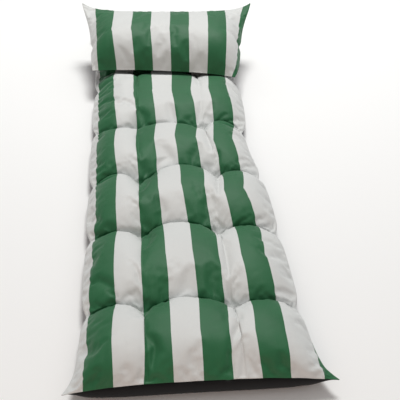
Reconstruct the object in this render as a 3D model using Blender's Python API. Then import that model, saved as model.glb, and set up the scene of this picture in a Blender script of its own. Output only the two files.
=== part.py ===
"""Padded garden lounger mattress with its head pillow, lying flat.

Metres, +Z up. +Y runs to the head end, and the origin is on the ground under the middle of
the whole. Along is measured from the line through the foot corners of the mattress, and
across from its middle line.
"""

import math
from collections import namedtuple

import bmesh
import bpy
import numpy as np

# Mattress
LENGTH = 1.86
CORNER_HALF = 0.313
LEFT_HALF = 0.281
RIGHT_HALF = 0.271
NOTCH = 0.014
CORNER_REACH = 0.042
NOTCH_REACH = 0.028
FOOT_BOW = 0.007
HEAD_BOW = 0.022
SEAM_HEIGHT = 0.036
FOOT_SEAM_RISE = 0.017
CROWN_HEIGHT = 0.102
CREASE_HEIGHT = 0.064
TUFT_HEIGHT = 0.045
CROWN_REACH = 0.130
COLUMN_DIP = 0.007
UNDER_REACH = 0.060
UNDER_DIMPLE = 0.012
UNDER_DIMPLE_RADIUS = 0.028
FOOT_BELLY = 0.019
HEAD_BELLY = 0.004
BELLY_REACH = 0.014

# The right side is drawn in a little more about half way along
WAIST = 0.026
WAIST_ALONG = 0.96
WAIST_REACH = 0.16

# Rows of tufts from the foot: where the left and right thread go through, how far the crease
# arches towards the head in its left, middle and right third, and how full the next bulge is
TuftRow = namedtuple(
    "TuftRow",
    "left_along left_across right_along right_across left_arch middle_arch right_arch fullness",
)
TUFT_ROWS = (
    TuftRow(0.220, -0.126, 0.218, 0.093, 0.012, 0.024, 0.008, 0.96),
    TuftRow(0.498, -0.126, 0.500, 0.092, 0.008, 0.034, 0.014, 1.03),
    TuftRow(0.742, -0.125, 0.766, 0.114, 0.030, 0.050, 0.008, 1.00),
    TuftRow(1.044, -0.125, 1.036, 0.096, -0.014, 0.012, 0.036, 1.00),
    TuftRow(1.422, -0.118, 1.410, 0.110, 0.010, 0.016, 0.010, 0.94),
)
# Where the left side is drawn in. The right side is drawn in beside its tufts
LEFT_NOTCHES = (0.220, 0.498, 0.742, 1.044, 1.335)
FOOT_FULLNESS = 0.98
END_TUFT_LINES = (-0.124, 0.096)

# Pillow, on the head end of the mattress
PILLOW_FRONT = 1.364
PILLOW_REAR = 1.722
PILLOW_FRONT_SKEW = 0.020
PILLOW_FRONT_MIDDLE = -0.010
PILLOW_REAR_MIDDLE = 0.013
PILLOW_FRONT_SEAM = 0.099
PILLOW_REAR_SEAM = 0.205
PILLOW_CORNER_LIFT = 0.026
PILLOW_LIFT_REACH = 0.050
PILLOW_CROWN = 0.094
PILLOW_SIDE_HALF = 0.288
PILLOW_FRONT_CORNER_HALF = 0.270
PILLOW_REAR_CORNER_HALF = 0.343
PILLOW_FRONT_CORNER_REACH = 0.050
PILLOW_REAR_CORNER_REACH = 0.115
PILLOW_NOTCH = 0.007
PILLOW_NOTCH_ALONG = 1.500
PILLOW_NOTCH_REACH = 0.016
PILLOW_BOW = 0.016
PILLOW_SIDE_REACH = 0.120
PILLOW_FRONT_REACH = 0.125
PILLOW_REAR_REACH = 0.300
PILLOW_BELLY = 0.010
PRESSED_HEIGHT = 0.088
PRESSED_SLOPE = 0.55
PRESSED_MARGIN = 0.010

# Cloth of the two black backs, the air between the pieces, and the height of the seam edge
BACK_CLOTH = 0.0020
GAP = 0.0005
SEAM_EDGE = 0.0030

# Grid steps from one seam or tuft to the next
STEPS_ACROSS = (8, 9, 8)
STEPS_ALONG = (8, 7, 7, 7, 8, 10)
PILLOW_STEPS_ACROSS = 20
PILLOW_STEPS_ALONG = 14
SEAM_CROWDING = 1.35

# Linear RGB
CANVAS_COLOUR = (0.030, 0.150, 0.065)
BACK_COLOUR = (0.010, 0.010, 0.011)


def clear_scene():
    for leftover in list(bpy.data.objects):
        bpy.data.objects.remove(leftover, do_unlink=True)


def cloth_material(name, colour, roughness):
    material = bpy.data.materials.new(name)
    material.use_nodes = True
    shader = material.node_tree.nodes["Principled BSDF"]
    shader.inputs["Base Color"].default_value = (*colour, 1.0)
    shader.inputs["Roughness"].default_value = roughness
    shader.inputs["Metallic"].default_value = 0.0
    return material


def grid_lines(steps):
    """Section number and share of the way through it, for each grid line. The lines crowd
    together at tufts, and more so at the seams, where the cloth curves most."""
    numbers, shares = [0], [0.0]
    for number, count in enumerate(steps):
        for step in range(1, count + 1):
            share = (1.0 - math.cos(math.pi * step / count)) / 2
            if number == 0:
                share = share**SEAM_CROWDING
            if number == len(steps) - 1:
                share = 1.0 - (1.0 - share) ** SEAM_CROWDING
            numbers.append(number)
            shares.append(share)
    return numbers, shares


def dome(distance, reach, power=2.6):
    """Rises from 0 at a seam to 1 where the filling is full, reach away from the seam."""
    return 1.0 - (1.0 - np.clip(distance / reach, 0.0, 1.0)) ** power


def belly(distance, reach):
    """0 at a seam, 1 at reach from it, and fading further in."""
    return distance / reach * np.exp(1.0 - distance / reach)


def ease(share):
    held = np.clip(share, 0.0, 1.0)
    return held * held * (3.0 - 2.0 * held)


def mix(first, second, share):
    return first + (second - first) * share


def hump(share, power):
    """1 half way between two seams or tufts, and 0 at both."""
    return 1.0 - np.abs(2.0 * share - 1.0) ** power


def side_widths(along):
    """How far the left and the right side lie from the middle: pointed at the corners, and
    drawn in near each row of tufts."""
    corner = np.exp(-along / CORNER_REACH) + np.exp(-(LENGTH - along) / CORNER_REACH)
    waist = WAIST * np.exp(-(((along - WAIST_ALONG) / WAIST_REACH) ** 2))
    left = mix(LEFT_HALF, CORNER_HALF, corner)
    right = mix(RIGHT_HALF - waist, CORNER_HALF, corner)
    for left_notch, row in zip(LEFT_NOTCHES, TUFT_ROWS):
        left = left - NOTCH * np.exp(-((np.abs(along - left_notch) / NOTCH_REACH) ** 1.3))
        right = right - NOTCH * np.exp(-((np.abs(along - row.right_along) / NOTCH_REACH) ** 1.3))
    return left, right


def placed(across, along, height):
    """Points from the origin. The rear corners of the pillow reach out furthest sideways."""
    return np.stack([across - PILLOW_REAR_MIDDLE, along - LENGTH / 2, height], axis=-1)


class QuiltGrid:
    """The mattress from above. Each grid line keeps its place between two seams or tufts."""

    def __init__(self):
        panel, across_share = grid_lines(STEPS_ACROSS)
        segment, along_share = grid_lines(STEPS_ALONG)
        self.panel, self.segment = np.meshgrid(panel, segment)
        self.across_share, self.along_share = np.meshgrid(across_share, along_share)
        self.outward = np.abs(2.0 * (self.panel + self.across_share) / len(STEPS_ACROSS) - 1.0)
        near = self.crossing_line(self.segment)
        far = self.crossing_line(self.segment + 1)
        self.gap = far - near
        self.along = mix(near, far, self.along_share)
        self.left, self.right = side_widths(self.along)
        self.across = self.lengthwise_lines()

    def crossing_line(self, numbers):
        """How far along the foot seam, the rows of tufts and the head seam lie."""
        drawn_in = 1.0 - self.outward**2.4
        between = np.choose(self.panel, [0.0, ease(self.across_share), 1.0])
        rounded = hump(self.across_share, 2.0)
        lines = [FOOT_BOW * drawn_in]
        for row in TUFT_ROWS:
            arch = np.choose(self.panel, [row.left_arch, row.middle_arch, row.right_arch])
            lines.append(mix(row.left_along, row.right_along, between) + arch * rounded)
        lines.append(LENGTH - HEAD_BOW * drawn_in)
        return np.choose(numbers, lines)

    def lengthwise_lines(self):
        """How far across each point lies, with the tufts of a row at their own places."""
        left_end, right_end = END_TUFT_LINES
        left = [left_end, *(row.left_across for row in TUFT_ROWS), left_end]
        right = [right_end, *(row.right_across for row in TUFT_ROWS), right_end]
        share = ease(self.along_share)
        left_line = mix(np.take(left, self.segment), np.take(left, self.segment + 1), share)
        right_line = mix(np.take(right, self.segment), np.take(right, self.segment + 1), share)
        start = np.choose(self.panel, [-self.left, left_line, right_line])
        stop = np.choose(self.panel, [left_line, right_line, self.right])
        return mix(start, stop, self.across_share)

    def from_side(self):
        return np.minimum(self.left + self.across, self.right - self.across)

    def from_foot(self):
        return self.along - self.crossing_line(np.zeros_like(self.segment))

    def from_head(self):
        return self.crossing_line(np.full_like(self.segment, len(STEPS_ALONG))) - self.along

    def from_row(self):
        """Distance to the nearer row of tufts or end seam."""
        return self.gap * np.minimum(self.along_share, 1.0 - self.along_share)

    def seam_height(self):
        """The seam stands a little higher across the middle of the foot."""
        foot = np.exp(-self.along / 0.10) * (1.0 - self.outward**3)
        return SEAM_HEIGHT + FOOT_SEAM_RISE * foot


def mattress_top(grid):
    """Height of the striped side: bulges between the rows, and soft creases along them."""
    seam = grid.seam_height() + SEAM_EDGE
    tuft = np.full_like(seam, TUFT_HEIGHT)
    start = np.choose(grid.panel, [seam, tuft, tuft])
    stop = np.choose(grid.panel, [tuft, tuft, seam])
    rise = (CREASE_HEIGHT - TUFT_HEIGHT) * np.choose(grid.panel, [0.85, 1.0, 0.85])
    crease = mix(start, stop, grid.across_share) + rise * hump(grid.across_share, 2.2)

    near = np.where(grid.segment == 0, seam, crease)
    far = np.where(grid.segment == len(STEPS_ALONG) - 1, seam, crease)
    valley = mix(near, far, ease(grid.along_share))

    by_tuft = 1.0 - hump(grid.across_share, 3.0)
    fullness = np.take([FOOT_FULLNESS, *(row.fullness for row in TUFT_ROWS)], grid.segment)
    side = dome(grid.from_side(), CROWN_REACH) ** 0.8
    crown = mix(seam, CROWN_HEIGHT * fullness - COLUMN_DIP * by_tuft, side)

    reach = np.minimum(grid.gap / 2, 0.140)
    arch = dome(grid.from_row(), reach) ** (0.70 + 0.50 * by_tuft)
    return mix(valley, crown, arch)


def pressed(grid, top):
    """The striped side under the pillow, flattened by it."""
    skew = PILLOW_FRONT_SKEW * grid.across / PILLOW_SIDE_HALF
    in_front = PILLOW_FRONT - skew + PRESSED_MARGIN - grid.along
    behind = grid.along - PILLOW_REAR - PRESSED_MARGIN
    beside = np.abs(grid.across) - PILLOW_SIDE_HALF
    outside = np.maximum(np.maximum(in_front, behind), np.maximum(beside, 0.0))
    return np.minimum(top, PRESSED_HEIGHT + PRESSED_SLOPE * outside)


def mattress_under(grid):
    """Points of the black side: flat on the ground, drawn up at the tufts, and bellied out
    under the foot seam."""
    foot, head = grid.from_foot(), grid.from_head()
    end = np.minimum(foot, head)
    full = dome(grid.from_side(), UNDER_REACH, 2.0) * dome(end, UNDER_REACH, 4.5)
    height = grid.seam_height() * (1.0 - full)
    for row in TUFT_ROWS:
        for along, across in (
            (row.left_along, row.left_across),
            (row.right_along, row.right_across),
        ):
            away = np.hypot(grid.along - along, grid.across - across)
            height = np.maximum(height, UNDER_DIMPLE * (1.0 - away / UNDER_DIMPLE_RADIUS))
    middle = 1.0 - grid.outward**4
    along = grid.along - FOOT_BELLY * middle * belly(foot, BELLY_REACH)
    along = along + HEAD_BELLY * middle * belly(head, BELLY_REACH)
    return placed(grid.across, along, height)


class PillowGrid:
    """The pillow from above, over its own slanting seam."""

    def __init__(self):
        across_share = grid_lines((PILLOW_STEPS_ACROSS,))[1]
        along_share = grid_lines((PILLOW_STEPS_ALONG,))[1]
        self.across_share, self.along_share = np.meshgrid(across_share, along_share)
        self.outward = np.abs(2.0 * self.across_share - 1.0)
        bow = PILLOW_BOW * (1.0 - self.outward**2.4)
        skew = PILLOW_FRONT_SKEW * (2.0 * self.across_share - 1.0)
        self.front = PILLOW_FRONT - skew + bow
        self.rear = PILLOW_REAR - bow
        self.along = mix(self.front, self.rear, self.along_share)
        from_rear = np.maximum(PILLOW_REAR - self.along, 0.0)
        by_front = np.exp(-(self.along - PILLOW_FRONT) / PILLOW_FRONT_CORNER_REACH)
        by_rear = np.exp(-((from_rear / PILLOW_REAR_CORNER_REACH) ** 1.3))
        notch = np.exp(-(((self.along - PILLOW_NOTCH_ALONG) / PILLOW_NOTCH_REACH) ** 2))
        self.half = (
            PILLOW_SIDE_HALF
            + (PILLOW_FRONT_CORNER_HALF - PILLOW_SIDE_HALF) * by_front
            + (PILLOW_REAR_CORNER_HALF - PILLOW_SIDE_HALF) * by_rear
            - PILLOW_NOTCH * notch
        )
        slant = (self.along - PILLOW_FRONT) / (PILLOW_REAR - PILLOW_FRONT)
        middle = mix(PILLOW_FRONT_MIDDLE, PILLOW_REAR_MIDDLE, slant)
        self.across = middle + self.half * (2.0 * self.across_share - 1.0)
        lift = PILLOW_CORNER_LIFT * self.outward**8 * np.exp(-from_rear / PILLOW_LIFT_REACH)
        self.seam = mix(PILLOW_FRONT_SEAM, PILLOW_REAR_SEAM, slant) + lift

    def from_side(self):
        return self.half * (1.0 - self.outward)

    def from_end(self):
        return np.minimum(self.along - self.front, self.rear - self.along)


def pillow_top(grid):
    """Height of the striped side: steep in front, and nearly level to the seam behind."""
    side = dome(grid.from_side(), PILLOW_SIDE_REACH, 2.6)
    front = dome(grid.along - grid.front, PILLOW_FRONT_REACH, 2.4)
    rear = dome(grid.rear - grid.along, PILLOW_REAR_REACH, 1.6)
    return grid.seam + SEAM_EDGE + PILLOW_CROWN * (side * front) ** 0.75 * rear


def pillow_under(grid):
    """Points of the black side of the pillow: flat on the mattress, bellied out behind."""
    full = dome(grid.from_side(), UNDER_REACH, 2.4) * dome(grid.from_end(), UNDER_REACH, 2.4)
    height = mix(grid.seam, PRESSED_HEIGHT + GAP, full)
    rear = grid.rear - grid.along
    middle = 1.0 - grid.outward**4
    along = grid.along + PILLOW_BELLY * middle * belly(rear, BELLY_REACH)
    return placed(grid.across, along, height)


def moved_inward(points, distance):
    """The same sheet of points, moved along its own normals into the filling."""
    step_across = np.gradient(points, axis=1)
    step_along = np.gradient(points, axis=0)
    normal = np.cross(step_across, step_along)
    normal /= np.linalg.norm(normal, axis=-1, keepdims=True)
    return points + normal * distance


def closed_piece(name, low, high, material):
    """One closed solid between two sheets of points on the same grid."""
    rows, columns, _ = low.shape
    mesh = bmesh.new()
    below, above = (
        [[mesh.verts.new(sheet[row, column]) for column in range(columns)] for row in range(rows)]
        for sheet in (low, high)
    )

    # Every sheet is cut into triangles the same way, so that neighbours never cross
    for row in range(rows - 1):
        for column in range(columns - 1):
            corners = ((row, column), (row, column + 1), (row + 1, column + 1), (row + 1, column))
            for picked in ((0, 1, 2), (0, 2, 3)):
                places = [corners[number] for number in picked]
                mesh.faces.new([above[i][j] for i, j in places])
                mesh.faces.new([below[i][j] for i, j in reversed(places)])

    rim = [(0, column) for column in range(columns)]
    rim += [(row, columns - 1) for row in range(1, rows)]
    rim += [(rows - 1, column) for column in range(columns - 2, -1, -1)]
    rim += [(row, 0) for row in range(rows - 2, 0, -1)]
    for (i, j), (k, m) in zip(rim, rim[1:] + rim[:1]):
        mesh.faces.new((below[i][j], below[k][m], above[k][m], above[i][j]))

    data = bpy.data.meshes.new(name)
    mesh.to_mesh(data)
    mesh.free()
    data.shade_smooth()
    data.set_sharp_from_angle(angle=math.radians(50))
    data.materials.append(material)
    piece = bpy.data.objects.new(name, data)
    bpy.context.scene.collection.objects.link(piece)


def build_cushion(name, back_name, grid, top, under):
    """A filled striped body over a sheet of black cloth that is sewn to it all round."""
    canvas = cloth_material(name + "_canvas", CANVAS_COLOUR, 0.75)
    black = cloth_material(back_name + "_cloth", BACK_COLOUR, 0.70)
    striped = placed(grid.across, grid.along, top)
    closed_piece(name, moved_inward(under, BACK_CLOTH + GAP), striped, canvas)
    closed_piece(back_name, under, moved_inward(under, BACK_CLOTH), black)


def build_mattress():
    grid = QuiltGrid()
    top = pressed(grid, mattress_top(grid))
    build_cushion("mattress", "mattress_underside", grid, top, mattress_under(grid))


def build_pillow():
    grid = PillowGrid()
    build_cushion("pillow", "pillow_back", grid, pillow_top(grid), pillow_under(grid))


clear_scene()
build_mattress()
build_pillow()
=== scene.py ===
"""Looks of the padded lounger mattress and its head pillow: settled cloth, stripes and weave.

Metres, +Z up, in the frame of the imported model. Along is measured from the line through the
foot corners of the mattress, and across from its middle line.
"""

import math
from collections import namedtuple

import bpy
import numpy as np
from mathutils import Matrix, Vector


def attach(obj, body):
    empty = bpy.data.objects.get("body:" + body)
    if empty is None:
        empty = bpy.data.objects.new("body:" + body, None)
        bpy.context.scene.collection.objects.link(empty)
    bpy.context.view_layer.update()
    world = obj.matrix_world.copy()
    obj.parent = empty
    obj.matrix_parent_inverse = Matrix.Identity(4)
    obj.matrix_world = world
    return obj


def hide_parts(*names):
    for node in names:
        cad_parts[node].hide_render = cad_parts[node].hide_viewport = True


# Form of the mattress, as in its solids
LENGTH = 1.86
CORNER_HALF = 0.313
LEFT_HALF = 0.281
RIGHT_HALF = 0.271
NOTCH = 0.014
CORNER_REACH = 0.042
NOTCH_REACH = 0.028
FOOT_BOW = 0.007
HEAD_BOW = 0.022
SEAM_HEIGHT = 0.036
FOOT_SEAM_RISE = 0.017
CROWN_HEIGHT = 0.102
CREASE_HEIGHT = 0.064
TUFT_HEIGHT = 0.045
CROWN_REACH = 0.130
COLUMN_DIP = 0.007
UNDER_REACH = 0.060
UNDER_DIMPLE = 0.012
UNDER_DIMPLE_RADIUS = 0.028
FOOT_BELLY = 0.019
HEAD_BELLY = 0.004
BELLY_REACH = 0.014
WAIST = 0.026
WAIST_ALONG = 0.96
WAIST_REACH = 0.16

TuftRow = namedtuple(
    "TuftRow",
    "left_along left_across right_along right_across left_arch middle_arch right_arch fullness",
)
TUFT_ROWS = (
    TuftRow(0.220, -0.126, 0.218, 0.093, 0.012, 0.024, 0.008, 0.96),
    TuftRow(0.498, -0.126, 0.500, 0.092, 0.008, 0.034, 0.014, 1.03),
    TuftRow(0.742, -0.125, 0.766, 0.114, 0.030, 0.050, 0.008, 1.00),
    TuftRow(1.044, -0.125, 1.036, 0.096, -0.014, 0.012, 0.036, 1.00),
    TuftRow(1.422, -0.118, 1.410, 0.110, 0.010, 0.016, 0.010, 0.94),
)
# Where the left side is drawn in. The right side is drawn in beside its tufts
LEFT_NOTCHES = (0.220, 0.498, 0.742, 1.044, 1.335)
FOOT_FULLNESS = 0.98
END_TUFT_LINES = (-0.124, 0.096)

# Form of the pillow, as in its solids
PILLOW_FRONT = 1.364
PILLOW_REAR = 1.722
PILLOW_FRONT_SKEW = 0.020
PILLOW_FRONT_MIDDLE = -0.010
PILLOW_REAR_MIDDLE = 0.013
PILLOW_FRONT_SEAM = 0.099
PILLOW_REAR_SEAM = 0.205
PILLOW_CORNER_LIFT = 0.026
PILLOW_LIFT_REACH = 0.050
PILLOW_CROWN = 0.094
PILLOW_SIDE_HALF = 0.288
PILLOW_FRONT_CORNER_HALF = 0.270
PILLOW_REAR_CORNER_HALF = 0.343
PILLOW_FRONT_CORNER_REACH = 0.050
PILLOW_REAR_CORNER_REACH = 0.115
PILLOW_NOTCH = 0.007
PILLOW_NOTCH_ALONG = 1.500
PILLOW_NOTCH_REACH = 0.016
PILLOW_BOW = 0.016
PILLOW_SIDE_REACH = 0.120
PILLOW_FRONT_REACH = 0.125
PILLOW_REAR_REACH = 0.300
PILLOW_BELLY = 0.010
PRESSED_HEIGHT = 0.088
PRESSED_SLOPE = 0.55
PRESSED_MARGIN = 0.010
GAP = 0.0005
SEAM_EDGE = 0.0030

# Cloth grids: steps from one seam or tuft to the next
STEPS_ACROSS = (22, 24, 22)
STEPS_ALONG = (28, 34, 30, 34, 42, 48)
PILLOW_STEPS = (64, 48)
EVENNESS = 0.55

# Stripes: width on the cloth, and where they lie. At each station along, the left edge of the
# first green stripe, the stripe count at the left and the right tuft line, and the right edge
# of the last whole green stripe, which is the seventh
STRIPE = 0.0656
StripeStation = namedtuple("StripeStation", "along first left_tuft right_tuft seventh")
STRIPE_STATIONS = (
    StripeStation(0.000, -0.2665, 2.13, 5.40, 0.2010),
    StripeStation(0.100, -0.2660, 2.08, 5.46, 0.1990),
    StripeStation(0.220, -0.2600, 2.02, 5.26, 0.2060),
    StripeStation(0.360, -0.2580, 2.04, 5.36, 0.1980),
    StripeStation(0.500, -0.2570, 2.01, 5.27, 0.2050),
    StripeStation(0.630, -0.2520, 2.06, 5.68, 0.1760),
    StripeStation(0.754, -0.2580, 2.04, 5.72, 0.1950),
    StripeStation(0.900, -0.2600, 2.13, 5.76, 0.1820),
    StripeStation(1.040, -0.2580, 2.03, 5.22, 0.2120),
    StripeStation(1.230, -0.2660, 2.20, 5.50, 0.2030),
    StripeStation(1.416, -0.2660, 2.27, 5.26, 0.2150),
    StripeStation(1.860, -0.2650, 2.15, 5.30, 0.2050),
)
LEFT_SEAM_STRIPE = -0.66
RIGHT_SEAM_STRIPE = 7.96
RIGHT_CORNER_STRIPE = 8.50
RIGHT_CORNER_REACH = 0.045
PILLOW_LEFT_STRIPE = -0.62
PILLOW_RIGHT_STRIPE = 8.42
PILLOW_FIRST = (-0.265, -0.279)
PILLOW_SEVENTH = (0.214, 0.250)

# Photograph's camera, fitted to the mattress
CAMERA_PLACE = (-0.1519, -1.8182, 1.2869)
CAMERA_TILT = 38.46
CAMERA_TURN = -7.12
CAMERA_ROLL = 2.80
CAMERA_LENS = 59.4
SENSOR = 36.0


def grid_lines(steps):
    """Section number and share of the way through it, for each grid line."""
    numbers, shares = [0], [0.0]
    for number, count in enumerate(steps):
        for step in range(1, count + 1):
            even = step / count
            crowded = (1.0 - math.cos(math.pi * even)) / 2
            numbers.append(number)
            shares.append(mix(crowded, even, EVENNESS))
    return numbers, shares


def dome(distance, reach, power=2.6):
    """Rises from 0 at a seam to 1 where the filling is full, reach away from the seam."""
    return 1.0 - (1.0 - np.clip(distance / reach, 0.0, 1.0)) ** power


def belly(distance, reach):
    """0 at a seam, 1 at reach from it, and fading further in."""
    return distance / reach * np.exp(1.0 - distance / reach)


def ease(share):
    held = np.clip(share, 0.0, 1.0)
    return held * held * (3.0 - 2.0 * held)


def mix(first, second, share):
    return first + (second - first) * share


def hump(share, power):
    """1 half way between two seams or tufts, and 0 at both."""
    return 1.0 - np.abs(2.0 * share - 1.0) ** power


def side_widths(along):
    """How far the left and the right side lie from the middle."""
    corner = np.exp(-along / CORNER_REACH) + np.exp(-(LENGTH - along) / CORNER_REACH)
    waist = WAIST * np.exp(-(((along - WAIST_ALONG) / WAIST_REACH) ** 2))
    left = mix(LEFT_HALF, CORNER_HALF, corner)
    right = mix(RIGHT_HALF - waist, CORNER_HALF, corner)
    for left_notch, row in zip(LEFT_NOTCHES, TUFT_ROWS):
        left = left - NOTCH * np.exp(-((np.abs(along - left_notch) / NOTCH_REACH) ** 1.3))
        right = right - NOTCH * np.exp(-((np.abs(along - row.right_along) / NOTCH_REACH) ** 1.3))
    return left, right


def placed(across, along, height):
    """Points from the origin, which is under the middle of the whole."""
    return np.stack([across - PILLOW_REAR_MIDDLE, along - LENGTH / 2, height], axis=-1)


def tufts():
    """How far along and across each tuft lies, row by row from the foot, left before right."""
    for row in TUFT_ROWS:
        yield row.left_along, row.left_across
        yield row.right_along, row.right_across


class QuiltGrid:
    """The mattress from above. Each grid line keeps its place between two seams or tufts."""

    def __init__(self):
        panel, across_share = grid_lines(STEPS_ACROSS)
        segment, along_share = grid_lines(STEPS_ALONG)
        self.panel, self.segment = np.meshgrid(panel, segment)
        self.across_share, self.along_share = np.meshgrid(across_share, along_share)
        self.outward = np.abs(2.0 * (self.panel + self.across_share) / len(STEPS_ACROSS) - 1.0)
        near = self.crossing_line(self.segment)
        far = self.crossing_line(self.segment + 1)
        self.gap = far - near
        self.along = mix(near, far, self.along_share)
        self.left, self.right = side_widths(self.along)
        self.across = self.lengthwise_lines()

    def crossing_line(self, numbers):
        """How far along the foot seam, the rows of tufts and the head seam lie."""
        drawn_in = 1.0 - self.outward**2.4
        between = np.choose(self.panel, [0.0, ease(self.across_share), 1.0])
        rounded = hump(self.across_share, 2.0)
        lines = [FOOT_BOW * drawn_in]
        for row in TUFT_ROWS:
            arch = np.choose(self.panel, [row.left_arch, row.middle_arch, row.right_arch])
            lines.append(mix(row.left_along, row.right_along, between) + arch * rounded)
        lines.append(LENGTH - HEAD_BOW * drawn_in)
        return np.choose(numbers, lines)

    def lengthwise_lines(self):
        """How far across each point lies, with the tufts of a row at their own places."""
        left_end, right_end = END_TUFT_LINES
        left = [left_end, *(row.left_across for row in TUFT_ROWS), left_end]
        right = [right_end, *(row.right_across for row in TUFT_ROWS), right_end]
        share = ease(self.along_share)
        self.left_line = mix(np.take(left, self.segment), np.take(left, self.segment + 1), share)
        self.right_line = mix(
            np.take(right, self.segment), np.take(right, self.segment + 1), share
        )
        start = np.choose(self.panel, [-self.left, self.left_line, self.right_line])
        stop = np.choose(self.panel, [self.left_line, self.right_line, self.right])
        return mix(start, stop, self.across_share)

    def from_side(self):
        return np.minimum(self.left + self.across, self.right - self.across)

    def from_foot(self):
        return self.along - self.crossing_line(np.zeros_like(self.segment))

    def from_head(self):
        return self.crossing_line(np.full_like(self.segment, len(STEPS_ALONG))) - self.along

    def from_row(self):
        """Distance to the nearer row of tufts or end seam."""
        return self.gap * np.minimum(self.along_share, 1.0 - self.along_share)

    def seam_height(self):
        """The seam stands a little higher across the middle of the foot."""
        foot = np.exp(-self.along / 0.10) * (1.0 - self.outward**3)
        return SEAM_HEIGHT + FOOT_SEAM_RISE * foot


def mattress_top(grid):
    """Height of the striped side: bulges between the rows, and soft creases along them."""
    seam = grid.seam_height() + SEAM_EDGE
    tuft = np.full_like(seam, TUFT_HEIGHT)
    start = np.choose(grid.panel, [seam, tuft, tuft])
    stop = np.choose(grid.panel, [tuft, tuft, seam])
    rise = (CREASE_HEIGHT - TUFT_HEIGHT) * np.choose(grid.panel, [0.85, 1.0, 0.85])
    crease = mix(start, stop, grid.across_share) + rise * hump(grid.across_share, 2.2)

    near = np.where(grid.segment == 0, seam, crease)
    far = np.where(grid.segment == len(STEPS_ALONG) - 1, seam, crease)
    valley = mix(near, far, ease(grid.along_share))

    by_tuft = 1.0 - hump(grid.across_share, 3.0)
    fullness = np.take([FOOT_FULLNESS, *(row.fullness for row in TUFT_ROWS)], grid.segment)
    side = dome(grid.from_side(), CROWN_REACH) ** 0.8
    crown = mix(seam, CROWN_HEIGHT * fullness - COLUMN_DIP * by_tuft, side)

    reach = np.minimum(grid.gap / 2, 0.140)
    arch = dome(grid.from_row(), reach) ** (0.70 + 0.50 * by_tuft)
    return mix(valley, crown, arch)


def press_limit(across, along):
    """Height that the striped side can reach under and beside the pillow."""
    skew = PILLOW_FRONT_SKEW * across / PILLOW_SIDE_HALF
    in_front = PILLOW_FRONT - skew + PRESSED_MARGIN - along
    behind = along - PILLOW_REAR - PRESSED_MARGIN
    beside = np.abs(across) - PILLOW_SIDE_HALF
    outside = np.maximum(np.maximum(in_front, behind), np.maximum(beside, 0.0))
    return PRESSED_HEIGHT + PRESSED_SLOPE * outside


def mattress_under(grid):
    """Points of the black side: flat on the ground, drawn up at the tufts, and bellied out
    under the foot seam."""
    foot, head = grid.from_foot(), grid.from_head()
    end = np.minimum(foot, head)
    full = dome(grid.from_side(), UNDER_REACH, 2.0) * dome(end, UNDER_REACH, 4.5)
    height = grid.seam_height() * (1.0 - full)
    for along, across in tufts():
        away = np.hypot(grid.along - along, grid.across - across)
        height = np.maximum(height, UNDER_DIMPLE * (1.0 - away / UNDER_DIMPLE_RADIUS))
    middle = 1.0 - grid.outward**4
    along = grid.along - FOOT_BELLY * middle * belly(foot, BELLY_REACH)
    along = along + HEAD_BELLY * middle * belly(head, BELLY_REACH)
    return placed(grid.across, along, height)


class PillowGrid:
    """The pillow from above, over its own slanting seam."""

    def __init__(self):
        across_share = grid_lines((PILLOW_STEPS[0],))[1]
        along_share = grid_lines((PILLOW_STEPS[1],))[1]
        self.across_share, self.along_share = np.meshgrid(across_share, along_share)
        self.outward = np.abs(2.0 * self.across_share - 1.0)
        bow = PILLOW_BOW * (1.0 - self.outward**2.4)
        skew = PILLOW_FRONT_SKEW * (2.0 * self.across_share - 1.0)
        self.front = PILLOW_FRONT - skew + bow
        self.rear = PILLOW_REAR - bow
        self.along = mix(self.front, self.rear, self.along_share)
        from_rear = np.maximum(PILLOW_REAR - self.along, 0.0)
        by_front = np.exp(-(self.along - PILLOW_FRONT) / PILLOW_FRONT_CORNER_REACH)
        by_rear = np.exp(-((from_rear / PILLOW_REAR_CORNER_REACH) ** 1.3))
        notch = np.exp(-(((self.along - PILLOW_NOTCH_ALONG) / PILLOW_NOTCH_REACH) ** 2))
        self.half = (
            PILLOW_SIDE_HALF
            + (PILLOW_FRONT_CORNER_HALF - PILLOW_SIDE_HALF) * by_front
            + (PILLOW_REAR_CORNER_HALF - PILLOW_SIDE_HALF) * by_rear
            - PILLOW_NOTCH * notch
        )
        slant = (self.along - PILLOW_FRONT) / (PILLOW_REAR - PILLOW_FRONT)
        middle = mix(PILLOW_FRONT_MIDDLE, PILLOW_REAR_MIDDLE, slant)
        self.across = middle + self.half * (2.0 * self.across_share - 1.0)
        lift = PILLOW_CORNER_LIFT * self.outward**8 * np.exp(-from_rear / PILLOW_LIFT_REACH)
        self.seam = mix(PILLOW_FRONT_SEAM, PILLOW_REAR_SEAM, slant) + lift

    def from_side(self):
        return self.half * (1.0 - self.outward)

    def from_end(self):
        return np.minimum(self.along - self.front, self.rear - self.along)


def pillow_top(grid):
    """Height of the striped side: steep in front, and nearly level to the seam behind."""
    side = dome(grid.from_side(), PILLOW_SIDE_REACH, 2.6)
    front = dome(grid.along - grid.front, PILLOW_FRONT_REACH, 2.4)
    rear = dome(grid.rear - grid.along, PILLOW_REAR_REACH, 1.6)
    return grid.seam + SEAM_EDGE + PILLOW_CROWN * (side * front) ** 0.75 * rear


def pillow_under(grid):
    """Points of the black side of the pillow: flat on the mattress, bellied out behind."""
    full = dome(grid.from_side(), UNDER_REACH, 2.4) * dome(grid.from_end(), UNDER_REACH, 2.4)
    height = mix(grid.seam, PRESSED_HEIGHT + GAP, full)
    rear = grid.rear - grid.along
    middle = 1.0 - grid.outward**4
    along = grid.along + PILLOW_BELLY * middle * belly(rear, BELLY_REACH)
    return placed(grid.across, along, height)


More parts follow.
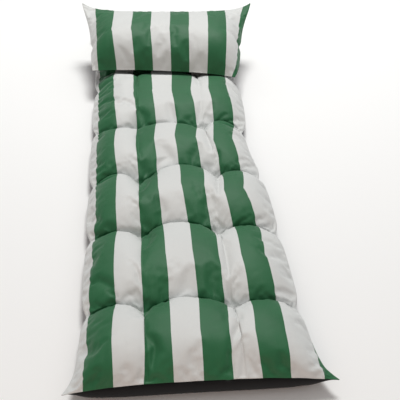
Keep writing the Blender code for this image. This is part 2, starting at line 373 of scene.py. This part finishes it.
# Cloth simulation. Slack is how much longer the cloth is than the form that it covers, and
# holds run from 0, free, to 1, sewn down
Settling = namedtuple("Settling", "slack pressure bending body_hold most_moved")
MATTRESS_SETTLING = Settling(0.035, 2.0, 1.0, 0.050, 0.012)
PILLOW_SETTLING = Settling(0.012, 3.0, 2.0, 0.080, 0.010)
CLOTH_FRAMES = 24
CLOTH_QUALITY = 6
CLOTH_MASS = 0.25
CLOTH_STRETCH = 40
CLOTH_SHEAR = 8
CLOTH_DAMPING = 10
CLOTH_AIR_DAMPING = 2.0
TUFT_HOLD_RADIUS = 0.007
CREASE_HOLD = 0.80
CREASE_HOLD_REACH = 0.010
UNEVENNESS = 0.0008


def grid_faces(rows, columns):
    """Corner numbers of each square of a grid of points."""
    first = (np.arange(rows - 1)[:, None] * columns + np.arange(columns - 1)).ravel()
    return np.stack([first, first + 1, first + columns + 1, first + columns], axis=1)


def settled(points, hold, settling):
    """The grid of points after the cloth has swelled and wrinkled between what holds it."""
    rows, columns, _ = points.shape
    data = bpy.data.meshes.new("settling")
    data.from_pydata(points.reshape(-1, 3).tolist(), [], grid_faces(rows, columns).tolist())
    cloth = bpy.data.objects.new("settling", data)
    bpy.context.scene.collection.objects.link(cloth)
    group = cloth.vertex_groups.new(name="hold")
    for number, weight in enumerate(hold.ravel().tolist()):
        group.add([number], weight, "REPLACE")

    modifier = cloth.modifiers.new("cloth", "CLOTH")
    set_up = modifier.settings
    set_up.quality = CLOTH_QUALITY
    set_up.mass = CLOTH_MASS
    set_up.vertex_group_mass = "hold"
    set_up.pin_stiffness = 1.0
    set_up.tension_stiffness = CLOTH_STRETCH
    set_up.compression_stiffness = CLOTH_STRETCH
    set_up.shear_stiffness = CLOTH_SHEAR
    set_up.bending_stiffness = settling.bending
    set_up.tension_damping = CLOTH_DAMPING
    set_up.compression_damping = CLOTH_DAMPING
    set_up.shear_damping = CLOTH_DAMPING
    set_up.air_damping = CLOTH_AIR_DAMPING
    set_up.shrink_min = -settling.slack
    set_up.use_pressure = True
    set_up.uniform_pressure_force = settling.pressure
    set_up.effector_weights.gravity = 0
    modifier.collision_settings.use_collision = False
    modifier.point_cache.frame_start = 1
    modifier.point_cache.frame_end = CLOTH_FRAMES

    scene = bpy.context.scene
    for frame_number in range(1, CLOTH_FRAMES + 1):
        scene.frame_set(frame_number)
    graph = bpy.context.evaluated_depsgraph_get()
    found = cloth.evaluated_get(graph).to_mesh()
    moved = np.empty(len(found.vertices) * 3, np.float32)
    found.vertices.foreach_get("co", moved)
    bpy.data.objects.remove(cloth, do_unlink=True)
    scene.frame_set(1)

    step = moved.reshape(points.shape).astype(float) - points
    length = np.linalg.norm(step, axis=-1, keepdims=True)
    return points + step * np.minimum(1.0, settling.most_moved / np.maximum(length, 1e-9))


def refined(values):
    """The grid at half its spacing, along smooth curves through the same points."""
    for axis in (0, 1):
        values = np.moveaxis(values, axis, 0)
        before, after = 2 * values[:1] - values[1:2], 2 * values[-1:] - values[-2:-1]
        ends = np.concatenate([before, values, after])
        middles = (9 * (ends[1:-2] + ends[2:-1]) - ends[:-3] - ends[3:]) / 16
        out = np.empty((2 * len(values) - 1, *values.shape[1:]))
        out[::2] = values
        out[1::2] = middles
        values = np.moveaxis(out, 0, axis)
    return values


def grid_normals(points):
    normal = np.cross(np.gradient(points, axis=1), np.gradient(points, axis=0))
    return normal / np.maximum(np.linalg.norm(normal, axis=-1, keepdims=True), 1e-12)


def ripples(across, along, seed, scale, octaves=3):
    """Smooth uneven waves between -1 and 1, the same for the same seed."""
    draw = np.random.default_rng(seed)
    total = np.zeros_like(across)
    for octave in range(octaves):
        for _ in range(5):
            angle, phase = draw.uniform(0, 2 * math.pi, 2)
            wave = 2 * math.pi / (scale * draw.uniform(0.7, 1.4)) * 1.9**octave
            way = across * math.cos(angle) + along * math.sin(angle)
            total += np.sin(wave * way + phase) / 1.7**octave
    return total / np.abs(total).max()


def distance_to_crease(grid):
    """How far each point lies from the nearest row of tufts. An end seam doesn't count."""
    near, far = grid.gap * grid.along_share, grid.gap * (1.0 - grid.along_share)
    near = np.where(grid.segment == 0, 1.0, near)
    far = np.where(grid.segment == len(STEPS_ALONG) - 1, 1.0, far)
    return np.minimum(near, far)


def from_tufts(across, along):
    """Distance to the nearest tuft."""
    nearest = np.full_like(across, 1.0)
    for there, over in tufts():
        nearest = np.minimum(nearest, np.hypot(along - there, across - over))
    return nearest


def sewn_rim(hold):
    hold[0], hold[-1], hold[:, 0], hold[:, -1] = (1.0,) * 4
    return hold


def mattress_cloth(grid):
    """The striped sheet of the mattress, settled between its seam, tufts and creases."""
    limit = press_limit(grid.across, grid.along)
    start = placed(grid.across, grid.along, np.minimum(mattress_top(grid), limit))
    uneven = ripples(grid.across, grid.along, 11, 0.05) * dome(grid.from_side(), 0.03)
    start[..., 2] += UNEVENNESS * uneven
    hold = np.full(grid.across.shape, MATTRESS_SETTLING.body_hold)
    crease = np.exp(-((distance_to_crease(grid) / CREASE_HOLD_REACH) ** 2))
    hold += (CREASE_HOLD - MATTRESS_SETTLING.body_hold) * crease
    hold[from_tufts(grid.across, grid.along) < TUFT_HOLD_RADIUS] = 1.0
    points = settled(start, sewn_rim(hold), MATTRESS_SETTLING)
    points[..., 2] = np.minimum(points[..., 2], limit)
    return points


def pillow_cloth(grid):
    start = placed(grid.across, grid.along, pillow_top(grid))
    uneven = ripples(grid.across, grid.along, 12, 0.06) * dome(grid.from_side(), 0.03)
    start[..., 2] += UNEVENNESS * uneven
    hold = np.full(grid.across.shape, PILLOW_SETTLING.body_hold)
    return settled(start, sewn_rim(hold), PILLOW_SETTLING)


# Folds and puckers too fine for the simulation, made at half its spacing
CREASE_PINCH = 0.0044
CREASE_PINCH_REACH = 0.0125
CREASE_CUT = 0.0030
CREASE_CUT_REACH = 0.0060
FAN_DEPTH = 0.0022
FAN_REACH = 0.020
FAN_FOLDS = 9
FAN_TURN_BY_ROW = 1.7
FAN_TURN_BY_SIDE = 2.9
FAN_UNEVENNESS = 1.3
SEAM_PUCKER = 0.0030
SEAM_PUCKER_WIDTH = 0.036
SEAM_PUCKER_REACH = 0.022
SIDE_PUCKER = 0.0012
SIDE_PUCKER_WIDTH = 0.020
SIDE_PUCKER_REACH = 0.014

# Deep folds beside the right tuft nearest the foot: points across and along, and the share
# of its depth that a fold keeps at its ends
FOLD_END = 0.35
Fold = namedtuple("Fold", "depth width path")
FOLDS = (
    Fold(0.0075, 0.0085, ((0.104, 0.150), (0.078, 0.098), (0.062, 0.050), (0.058, 0.008))),
    Fold(0.0050, 0.0080, ((0.090, 0.212), (0.066, 0.172), (0.064, 0.140))),
)


def from_path(across, along, path):
    """Distance to a line through the points, and how far down it the nearest place is."""
    nearest = np.full_like(across, 9.0)
    share = np.zeros_like(across)
    for number, ((x0, y0), (x1, y1)) in enumerate(zip(path, path[1:])):
        dx, dy = x1 - x0, y1 - y0
        part = np.clip(((across - x0) * dx + (along - y0) * dy) / (dx * dx + dy * dy), 0.0, 1.0)
        away = np.hypot(across - x0 - part * dx, along - y0 - part * dy)
        closer = away < nearest
        nearest = np.where(closer, away, nearest)
        share = np.where(closer, (number + part) / (len(path) - 1), share)
    return nearest, share


def puckers(way, width, seed):
    """Uneven narrow dents from 0 to 1 along a seam, about one in each width."""
    wander = ripples(way, np.zeros_like(way), seed, 5 * width) * 2.2
    strength = 0.55 + 0.45 * ripples(way, np.zeros_like(way), seed + 1, 3 * width)
    return strength * np.maximum(0.0, np.cos(2 * math.pi * way / width + wander)) ** 1.5


def fine_folds(grid, points):
    """The refined cloth of the mattress, with its creases pinched together, small folds
    fanning out of the tufts, deep folds at the foot and puckers along the seam."""
    points = refined(points)
    across, along = refined(grid.across), refined(grid.along)
    by_crease = refined(distance_to_crease(grid))
    ahead = refined(np.where(grid.along_share < 0.5, 1.0, -1.0))
    between = refined(hump(grid.across_share, 4.0))
    pinch = CREASE_PINCH * belly(by_crease, CREASE_PINCH_REACH) * between
    points[..., 1] -= pinch * np.sign(ahead)
    points[..., 2] -= CREASE_CUT * between * np.exp(-((by_crease / CREASE_CUT_REACH) ** 2))

    down = np.zeros_like(across)
    for number, (there, over) in enumerate(tufts()):
        row, side = divmod(number, 2)
        away = np.hypot(along - there, across - over)
        angle = np.arctan2(along - there, across - over)
        turn = FAN_TURN_BY_ROW * row + FAN_TURN_BY_SIDE * side
        spread = np.cos(FAN_FOLDS * angle + turn + FAN_UNEVENNESS * np.sin(2 * angle + turn))
        down += FAN_DEPTH * np.maximum(0.0, spread) * belly(away, FAN_REACH)
    for fold in FOLDS:
        away, share = from_path(across, along, fold.path)
        fading = mix(FOLD_END, 1.0, hump(share, 2.0))
        down += fold.depth * np.exp(-((away / fold.width) ** 2)) * fading

    foot, head = refined(grid.from_foot()), refined(grid.from_head())
    side = refined(grid.from_side())
    for distance, seed in ((foot, 21), (head, 23)):
        dents = SEAM_PUCKER * puckers(across, SEAM_PUCKER_WIDTH, seed)
        down += dents * belly(distance, SEAM_PUCKER_REACH)
    sideways = belly(side, SIDE_PUCKER_REACH) * dome(np.minimum(foot, head), 0.05)
    wavy = along + 0.3 * np.sign(across)
    down += SIDE_PUCKER * puckers(wavy, SIDE_PUCKER_WIDTH, 25) * sideways
    return points - down[..., None] * np.array([0.0, 0.0, 1.0])


def pillow_folds(grid, points):
    """The refined cloth of the pillow, with puckers along its seams."""
    points = refined(points)
    across, along = refined(grid.across), refined(grid.along)
    side, end = refined(grid.from_side()), refined(grid.from_end())
    dents = SEAM_PUCKER / 2 * puckers(across, SEAM_PUCKER_WIDTH, 31)
    down = dents * belly(end, SEAM_PUCKER_REACH)
    wavy = along + 0.3 * np.sign(across)
    down += SIDE_PUCKER * puckers(wavy, SIDE_PUCKER_WIDTH, 33) * belly(side, SIDE_PUCKER_REACH)
    return points + grid_normals(points) * -down[..., None]


def way_across(points):
    """Distance over the cloth from its left edge, for each point of a grid."""
    steps = np.linalg.norm(np.diff(points, axis=1), axis=-1)
    return np.concatenate([np.zeros((len(points), 1)), np.cumsum(steps, axis=1)], axis=1)


def stripe_counts(grid, points):
    """Stripe number at each point of the mattress cloth, counted over the cloth itself."""
    stations = np.array(STRIPE_STATIONS)
    way = way_across(points)
    counts = np.empty_like(way)
    for row in range(len(points)):
        along = grid.along[row].mean()
        first, left_tuft, right_tuft, seventh = (
            np.interp(along, stations[:, 0], stations[:, column]) for column in range(1, 5)
        )
        across = grid.across[row]
        corner = math.exp(-along / RIGHT_CORNER_REACH)
        places = (
            across[0],
            first,
            grid.left_line[row].mean(),
            grid.right_line[row].mean(),
            seventh,
            across[-1],
        )
        right_end = mix(RIGHT_SEAM_STRIPE, RIGHT_CORNER_STRIPE, corner)
        numbers = (LEFT_SEAM_STRIPE, 0.0, left_tuft, right_tuft, 7.0, right_end)
        counts[row] = np.interp(way[row], np.interp(places, across, way[row]), numbers)
    return counts


def pillow_stripe_counts(grid, points):
    """The same for the pillow, from the left edge of its first green stripe to the right edge
    of its last whole one, which is the seventh."""
    way = way_across(points)
    numbers = (PILLOW_LEFT_STRIPE, 0.0, 7.0, PILLOW_RIGHT_STRIPE)
    counts = np.empty_like(way)
    for row in range(len(points)):
        share = grid.along_share[row].mean()
        across = grid.across[row]
        places = (
            across[0],
            mix(PILLOW_FIRST[0], PILLOW_FIRST[1], share),
            mix(PILLOW_SEVENTH[0], PILLOW_SEVENTH[1], share),
            across[-1],
        )
        counts[row] = np.interp(way[row], np.interp(places, across, way[row]), numbers)
    return counts


# Seam edge of the striped cloth, as rings of points moved out from the rim and up from it
SEAM_RINGS = ((0.0010, -0.0009), (0.0005, -0.0020), (-0.0030, -0.0025))
BACKING = 0.0016
FILLING_GAP = 0.0008


def rim_numbers(rows, columns):
    """Corner numbers round the edge of a grid, anticlockwise from above."""
    ring = list(range(columns))
    ring += [row * columns + columns - 1 for row in range(1, rows)]
    ring += [(rows - 1) * columns + column for column in range(columns - 2, -1, -1)]
    ring += [row * columns for row in range(rows - 2, 0, -1)]
    return ring


def rim_outward(places):
    """Level direction out of a ring of points that runs anticlockwise."""
    forward = np.roll(places, -1, axis=0) - np.roll(places, 1, axis=0)
    outward = np.stack([forward[:, 1], -forward[:, 0], np.zeros(len(places))], axis=1)
    return outward / np.linalg.norm(outward, axis=1, keepdims=True)


def band(lower, upper):
    """Squares between two rings of corner numbers."""
    return [
        (lower[step - 1], upper[step - 1], upper[step], lower[step]) for step in range(len(lower))
    ]


def coarse_floor(rows, columns, rim, inner_start):
    """Faces of a grid at twice the spacing, whose edge uses every corner of the fine rim.
    Rim holds the fine grid's rim by (row, column), and the other corners follow in order."""
    numbers = {}
    total = inner_start
    for row in range(1, rows - 1):
        for column in range(1, columns - 1):
            numbers[2 * row, 2 * column] = total
            total += 1
    numbers.update(rim)
    faces = []
    for row in range(0, 2 * rows - 2, 2):
        for column in range(0, 2 * columns - 2, 2):
            walk = (
                (row, column), (row, column + 1), (row, column + 2), (row + 1, column + 2),
                (row + 2, column + 2), (row + 2, column + 1), (row + 2, column), (row + 1, column),
            )
            faces.append([numbers[place] for place in reversed(walk) if place in numbers])
    return faces


def filled_mesh(name, top, counts, under):
    """A closed mesh: the striped cloth at half the spacing of the backing, its edge turned in
    at the seam, and a hidden bottom over the points of the backing."""
    inside = under + grid_normals(under) * (BACKING + FILLING_GAP)
    rows, columns, _ = top.shape
    ring = rim_numbers(rows, columns)
    flat = top.reshape(-1, 3)
    places = flat[ring]
    outward = rim_outward(places)
    vertices = [flat]
    faces = grid_faces(rows, columns).tolist()
    last, total = ring, len(flat)
    for out, up in SEAM_RINGS:
        vertices.append(places + outward * out + np.array([0.0, 0.0, up]))
        after = list(range(total, total + len(ring)))
        faces += band(last, after)
        last, total = after, total + len(ring)
    rim = {(number // columns, number % columns): place for number, place in zip(ring, last)}
    faces += coarse_floor(len(under), len(under[0]), rim, total)
    vertices.append(inside[1:-1, 1:-1].reshape(-1, 3))

    data = bpy.data.meshes.new(name)
    data.from_pydata(np.concatenate(vertices).tolist(), [], faces)
    lengths = np.linalg.norm(np.diff(top, axis=0), axis=-1)
    along = np.concatenate([np.zeros((1, columns)), np.cumsum(lengths, axis=0)])
    cloth = np.stack([counts * STRIPE, along], axis=-1)
    hidden = cloth[::2, ::2][1:-1, 1:-1].reshape(-1, 2)
    cloth = cloth.reshape(-1, 2)
    add_cloth_map(data, np.concatenate([cloth] + [cloth[ring]] * len(SEAM_RINGS) + [hidden]))
    return data


def add_cloth_map(data, cloth):
    """UV map in metres over the cloth: across the stripes, then along them."""
    corners = np.empty(len(data.loops), np.int32)
    data.loops.foreach_get("vertex_index", corners)
    layer = data.uv_layers.new(name="cloth")
    layer.uv.foreach_set("vector", cloth[corners].astype(np.float32).ravel())


def sheet_mesh(name, points, thickness):
    """A closed thin sheet of cloth under a grid of points."""
    rows, columns, _ = points.shape
    inner = points + grid_normals(points) * thickness
    count = rows * columns
    faces = grid_faces(rows, columns)
    below = faces[:, ::-1].tolist()
    above = (faces + count).tolist()
    ring = rim_numbers(rows, columns)
    following = ring[1:] + ring[:1]
    sides = [(here, then, then + count, here + count) for here, then in zip(ring, following)]
    data = bpy.data.meshes.new(name)
    both = np.concatenate([points.reshape(-1, 3), inner.reshape(-1, 3)])
    data.from_pydata(both.tolist(), [], below + above + sides)
    add_cloth_map(data, both[:, :2] + 1.0)
    return data


# Materials
YARN = 0.00075
WHITE = (0.74, 0.75, 0.74)
GREEN = (0.016, 0.135, 0.048)
BLACK = (0.0035, 0.0035, 0.0042)


class Nodes:
    """Short calls for building one material."""

    def __init__(self, name):
        self.material = bpy.data.materials.new(name)
        self.material.use_nodes = True
        self.tree = self.material.node_tree
        self.shader = self.tree.nodes["Principled BSDF"]

    def add(self, kind, values=(), **settings):
        node = self.tree.nodes.new(kind)
        for key, value in settings.items():
            setattr(node, key, value)
        for socket, value in dict(values).items():
            if isinstance(value, bpy.types.NodeSocket):
                self.tree.links.new(value, node.inputs[socket])
            else:
                node.inputs[socket].default_value = value
        return node

    def math(self, operation, first, second=0.0, third=0.0):
        values = {0: first, 1: second, 2: third}
        return self.add("ShaderNodeMath", values, operation=operation).outputs[0]

    def mix_colour(self, share, first, second):
        node = self.add("ShaderNodeMix", data_type="RGBA")
        for socket, value in ((0, share), (6, first), (7, second)):
            if isinstance(value, bpy.types.NodeSocket):
                self.tree.links.new(value, node.inputs[socket])
            else:
                node.inputs[socket].default_value = value
        return node.outputs[2]

    def link(self, value, socket):
        self.tree.links.new(value, self.shader.inputs[socket])


def weave(nodes, across, along):
    """Height of a plain weave from 0 to 1: one yarn over, one yarn under."""
    warp = nodes.math("SINE", nodes.math("MULTIPLY", across, math.pi / YARN))
    weft = nodes.math("SINE", nodes.math("MULTIPLY", along, math.pi / YARN))
    crossing = nodes.math("MULTIPLY", warp, weft)
    return nodes.math("MULTIPLY_ADD", crossing, 0.5, 0.5)


def cloth_places(nodes):
    uv = nodes.add("ShaderNodeUVMap", uv_map="cloth")
    split = nodes.add("ShaderNodeSeparateXYZ", {0: uv.outputs[0]})
    return uv.outputs[0], split.outputs[0], split.outputs[1]


def noise(nodes, vector, scale, detail=3.0, roughness=0.55):
    node = nodes.add(
        "ShaderNodeTexNoise",
        {"Vector": vector, "Scale": scale, "Detail": detail, "Roughness": roughness},
    )
    return node.outputs["Fac"]


def canvas_material():
    """Woven canvas with dyed stripes along the cloth."""
    nodes = Nodes("striped canvas")
    uv, across, along = cloth_places(nodes)
    ragged = nodes.math("MULTIPLY_ADD", noise(nodes, uv, 900.0, 1.0), 0.0012, -0.0006)
    count = nodes.math("DIVIDE", nodes.math("ADD", across, ragged), 2 * STRIPE)
    wave = nodes.math("FRACT", count)
    is_green = nodes.math("LESS_THAN", wave, 0.5)
    worn = noise(nodes, uv, 9.0, 4.0)
    white = nodes.mix_colour(worn, (*[v * 0.93 for v in WHITE], 1), (*WHITE, 1))
    green = nodes.mix_colour(worn, (*[v * 0.82 for v in GREEN], 1), (*[v * 1.15 for v in GREEN], 1))
    dyed = nodes.mix_colour(is_green, white, green)
    height = weave(nodes, across, along)
    # painted shade: the dyed colour is darkened by up to 16% where the weave dips between the yarns
    shaded = nodes.mix_colour(nodes.math("MULTIPLY_ADD", height, -0.16, 0.16), dyed, (0, 0, 0, 1))
    nodes.link(shaded, "Base Color")
    slub = noise(nodes, uv, 260.0, 2.0)
    total = nodes.math("MULTIPLY_ADD", slub, 0.6, height)
    bump = nodes.add("ShaderNodeBump", {"Height": total, "Strength": 0.35, "Distance": 0.0003})
    nodes.link(bump.outputs[0], "Normal")
    nodes.link(nodes.math("MULTIPLY_ADD", worn, 0.12, 0.50), "Roughness")
    nodes.shader.inputs["Sheen Weight"].default_value = 0.15
    nodes.shader.inputs["Sheen Roughness"].default_value = 0.45
    nodes.shader.inputs["Specular IOR Level"].default_value = 0.35
    return nodes.material


def backing_material():
    """Plain woven black cloth."""
    nodes = Nodes("black backing")
    uv, across, along = cloth_places(nodes)
    worn = noise(nodes, uv, 14.0, 4.0)
    black = nodes.mix_colour(worn, (*[v * 0.7 for v in BLACK], 1), (*[v * 1.5 for v in BLACK], 1))
    nodes.link(black, "Base Color")
    height = weave(nodes, across, along)
    total = nodes.math("MULTIPLY_ADD", noise(nodes, uv, 300.0, 2.0), 0.7, height)
    bump = nodes.add("ShaderNodeBump", {"Height": total, "Strength": 0.5, "Distance": 0.0003})
    nodes.link(bump.outputs[0], "Normal")
    nodes.link(nodes.math("MULTIPLY_ADD", worn, 0.12, 0.66), "Roughness")
    nodes.shader.inputs["Sheen Weight"].default_value = 0.10
    nodes.shader.inputs["Sheen Roughness"].default_value = 0.5
    nodes.shader.inputs["Specular IOR Level"].default_value = 0.25
    return nodes.material


def piece(data, material, node):
    """A smooth shaded piece that stands for a solid of the frame."""
    data.shade_smooth()
    data.materials.append(material)
    made = bpy.data.objects.new(data.name, data)
    bpy.context.scene.collection.objects.link(made)
    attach(made, "root")
    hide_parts(node)
    return made


def make_cushions():
    canvas, backing = canvas_material(), backing_material()

    grid = QuiltGrid()
    points, under = mattress_cloth(grid), mattress_under(grid)
    counts = refined(stripe_counts(grid, points))
    data = filled_mesh("mattress_canvas", fine_folds(grid, points), counts, under)
    piece(data, canvas, "mattress")
    data = sheet_mesh("mattress_backing", under, BACKING)
    piece(data, backing, "mattress_underside")

    grid = PillowGrid()
    points, under = pillow_cloth(grid), pillow_under(grid)
    counts = refined(pillow_stripe_counts(grid, points))
    data = filled_mesh("pillow_canvas", pillow_folds(grid, points), counts, under)
    piece(data, canvas, "pillow")
    data = sheet_mesh("pillow_backing", refined(under), BACKING)
    piece(data, backing, "pillow_back")


# Studio
FLOOR_HALF = 14.0
FLOOR_DROP = 0.0004
FLOOR_PALENESS = 0.93
SKY = 0.34
Lamp = namedtuple("Lamp", "name place target size power colour")
LAMPS = (
    Lamp("key", (0.3, 2.1, 4.3), (0.0, 0.1, 0.0), 1.6, 175, (1.0, 1.0, 0.98)),
    Lamp("warm fill", (-0.6, -3.4, 0.9), (0.0, 0.0, 0.1), 1.4, 16, (1.0, 0.66, 0.48)),
)


def make_floor():
    data = bpy.data.meshes.new("floor")
    corners = [
        (FLOOR_HALF * across, FLOOR_HALF * along, 0)
        for across, along in ((-1, -1), (1, -1), (1, 1), (-1, 1))
    ]
    data.from_pydata(corners, [], [(0, 1, 2, 3)])
    floor = bpy.data.objects.new("floor", data)
    floor.location.z = -FLOOR_DROP
    bpy.context.scene.collection.objects.link(floor)
    nodes = Nodes("pale floor")
    nodes.shader.inputs["Base Color"].default_value = (*[FLOOR_PALENESS] * 3, 1)
    nodes.shader.inputs["Roughness"].default_value = 0.9
    data.materials.append(nodes.material)


def area_light(lamp):
    data = bpy.data.lights.new(lamp.name, "AREA")
    data.shape = "SQUARE"
    data.size = lamp.size
    data.energy = lamp.power
    data.color = lamp.colour
    light = bpy.data.objects.new(lamp.name, data)
    light.location = lamp.place
    towards = Vector(lamp.target) - Vector(lamp.place)
    light.rotation_euler = towards.to_track_quat("-Z", "Y").to_euler()
    bpy.context.scene.collection.objects.link(light)


def make_lights():
    world = bpy.data.worlds.new("studio")
    world.use_nodes = True
    sky = world.node_tree.nodes["Background"]
    sky.inputs["Color"].default_value = (1.0, 1.0, 1.0, 1.0)
    sky.inputs["Strength"].default_value = SKY
    bpy.context.scene.world = world
    for lamp in LAMPS:
        area_light(lamp)


def make_camera():
    data = bpy.data.cameras.new("camera")
    data.lens = CAMERA_LENS
    data.sensor_width = SENSOR
    camera = bpy.data.objects.new("camera", data)
    tilt = Matrix.Rotation(math.radians(90 - CAMERA_TILT), 4, "X")
    turn = Matrix.Rotation(math.radians(CAMERA_TURN), 4, "Z")
    roll = Matrix.Rotation(math.radians(CAMERA_ROLL), 4, "Z")
    camera.matrix_world = Matrix.Translation(CAMERA_PLACE) @ turn @ tilt @ roll
    bpy.context.scene.collection.objects.link(camera)
    bpy.context.scene.camera = camera


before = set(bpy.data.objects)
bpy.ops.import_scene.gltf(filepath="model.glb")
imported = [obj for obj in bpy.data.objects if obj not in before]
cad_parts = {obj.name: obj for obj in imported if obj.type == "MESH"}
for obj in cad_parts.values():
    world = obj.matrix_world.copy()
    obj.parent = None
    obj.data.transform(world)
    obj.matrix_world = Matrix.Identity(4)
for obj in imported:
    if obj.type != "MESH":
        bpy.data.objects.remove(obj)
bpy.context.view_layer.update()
make_cushions()
make_floor()
make_lights()
make_camera()
bpy.context.scene.view_settings.view_transform = "Standard"
